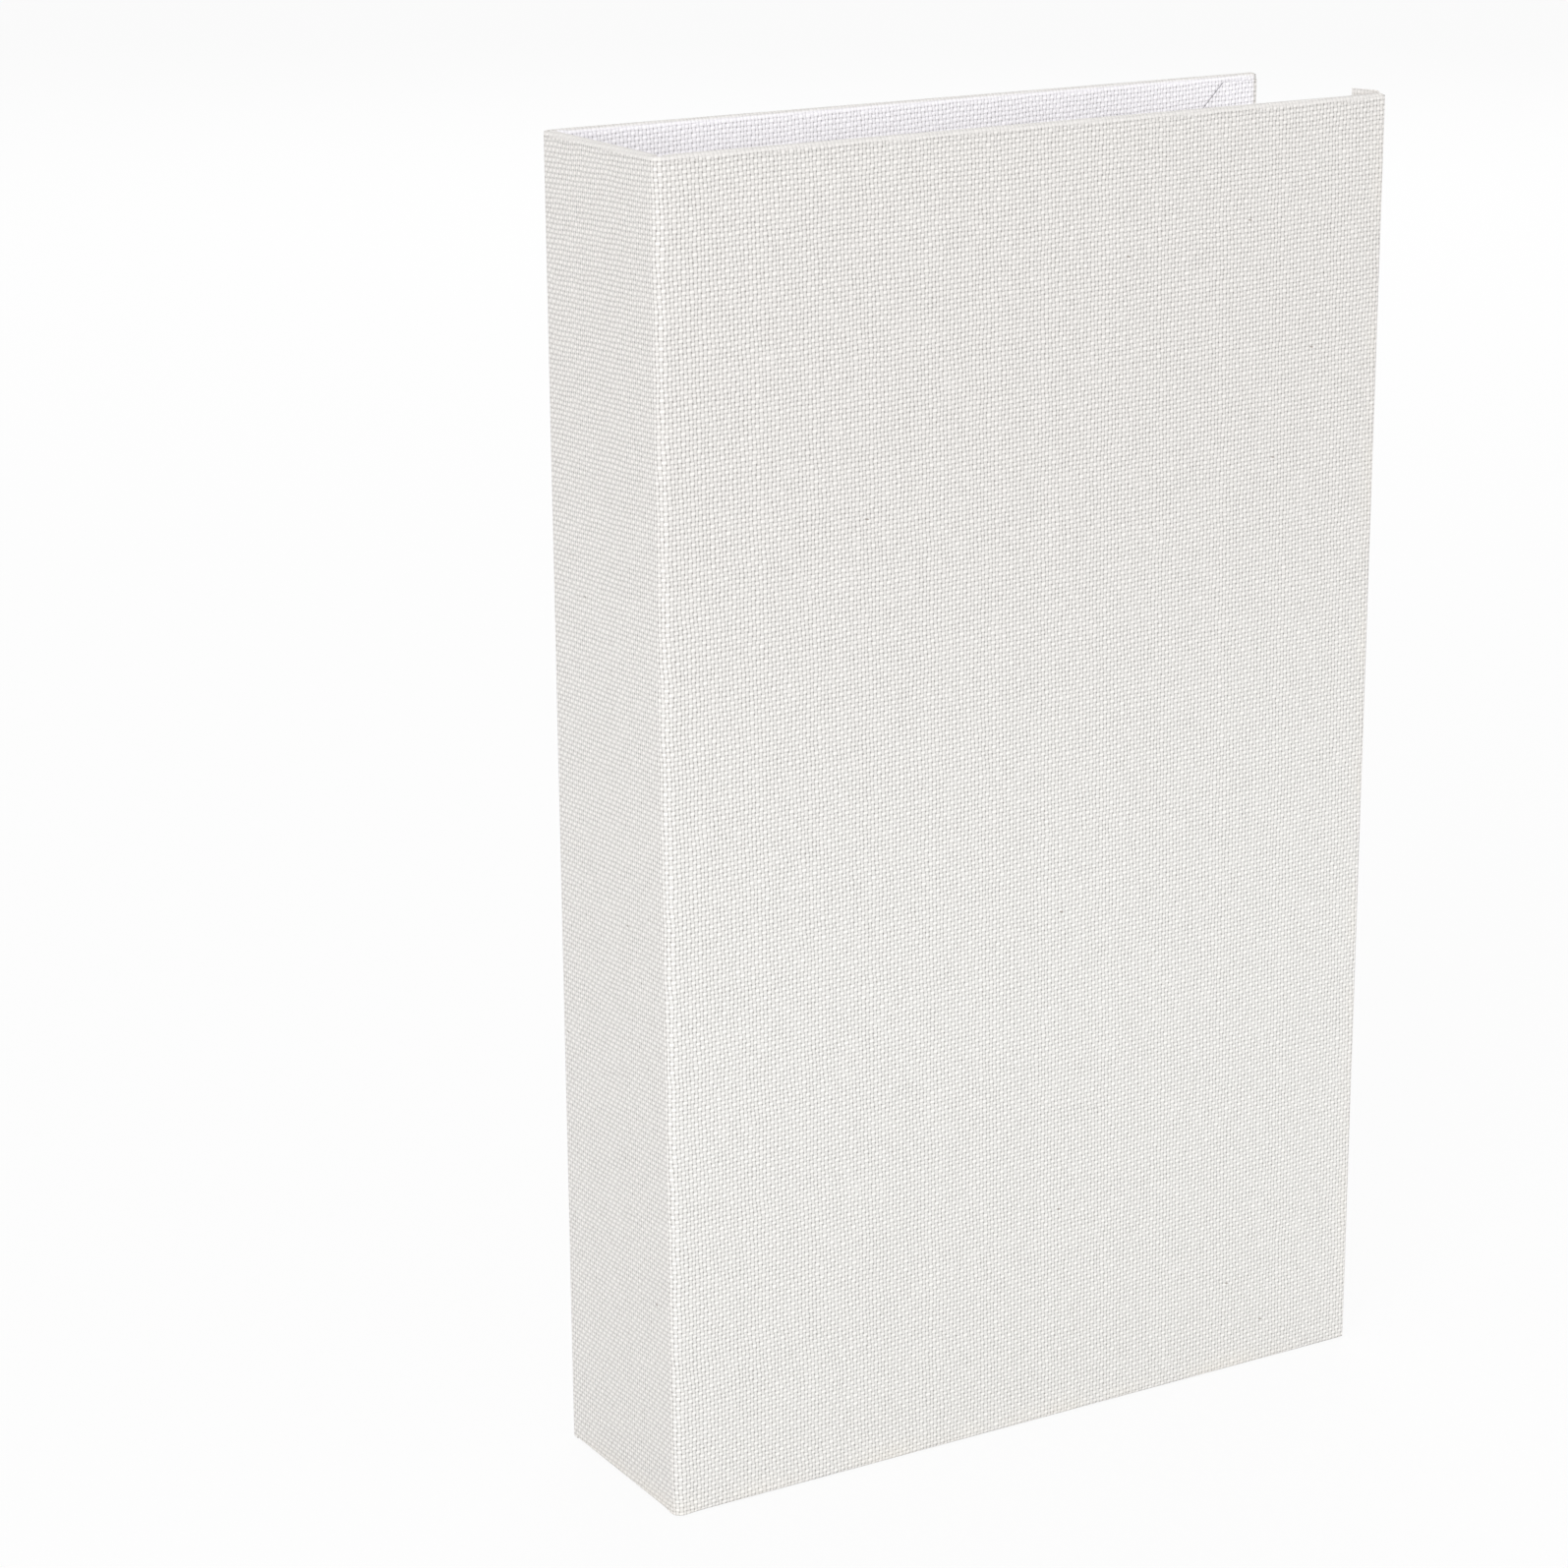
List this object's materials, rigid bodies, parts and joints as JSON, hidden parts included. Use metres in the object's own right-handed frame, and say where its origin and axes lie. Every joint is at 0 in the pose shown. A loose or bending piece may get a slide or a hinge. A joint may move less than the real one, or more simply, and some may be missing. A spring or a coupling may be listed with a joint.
{
  "type": "clamshell book box",
  "caption": "Cloth-covered box shaped like an upright book, with two nested trays inside its hinged covers, for papers and keepsakes.",
  "frame": {"origin": "under the middle of the closed box, at the tail edges it stands on", "axes": "+Z to the head, +X from the spine to the fore-edge, +Y from the front cover to the back cover"},
  "size_m": [0.204, 0.055, 0.33],
  "materials": {
    "cover_cloth": "white plain-weave linen look, coarse threads",
    "tray_cloth": "the same cloth over the tray walls",
    "lining_cloth": "the same cloth as hinge lining",
    "lining_paper": "uncoated off-white paper",
    "greyboard": "grey bookbinding board, hidden under the cloth except at the tray floors' open ends"
  },
  "bodies": {
    "back": {"back_board": "greyboard", "back_cloth": "cover_cloth", "back_fill_paper": "lining_paper", "back_hinge_lining": "lining_cloth", "base_floor": "greyboard", "base_floor_lining": "lining_paper", "base_head_wall": "greyboard", "base_tail_wall": "greyboard", "base_fore_edge_wall": "greyboard", "base_head_wall_cloth": "tray_cloth", "base_tail_wall_cloth": "tray_cloth", "base_fore_edge_wall_cloth": "tray_cloth"},
    "spine": {"spine_board": "greyboard", "spine_cloth": "cover_cloth", "spine_lining": "lining_cloth", "front_joint_cloth": "cover_cloth", "back_joint_cloth": "cover_cloth"},
    "front": {"front_board": "greyboard", "front_cloth": "cover_cloth", "front_fill_paper": "lining_paper", "front_hinge_lining": "lining_cloth", "lid_floor": "greyboard", "lid_floor_lining": "lining_paper", "lid_head_wall": "greyboard", "lid_tail_wall": "greyboard", "lid_fore_edge_wall": "greyboard", "lid_head_wall_cloth": "tray_cloth", "lid_tail_wall_cloth": "tray_cloth", "lid_fore_edge_wall_cloth": "tray_cloth"}
  },
  "joints": [
    {"name": "spine_hinge", "type": "hinge", "parent": "back", "child": "spine", "pos_m": [-0.10101, 0.02651, 0.165], "axis": [0, 0, -1], "range_deg": [0, 90]},
    {"name": "cover_hinge", "type": "hinge", "parent": "spine", "child": "front", "pos_m": [-0.10101, -0.02651, 0.165], "axis": [0, 0, -1], "range_deg": [0, 90]}
  ],
  "couplings": [
    {"joint": "cover_hinge", "follows": "spine_hinge", "ratio": 1}
  ]
}
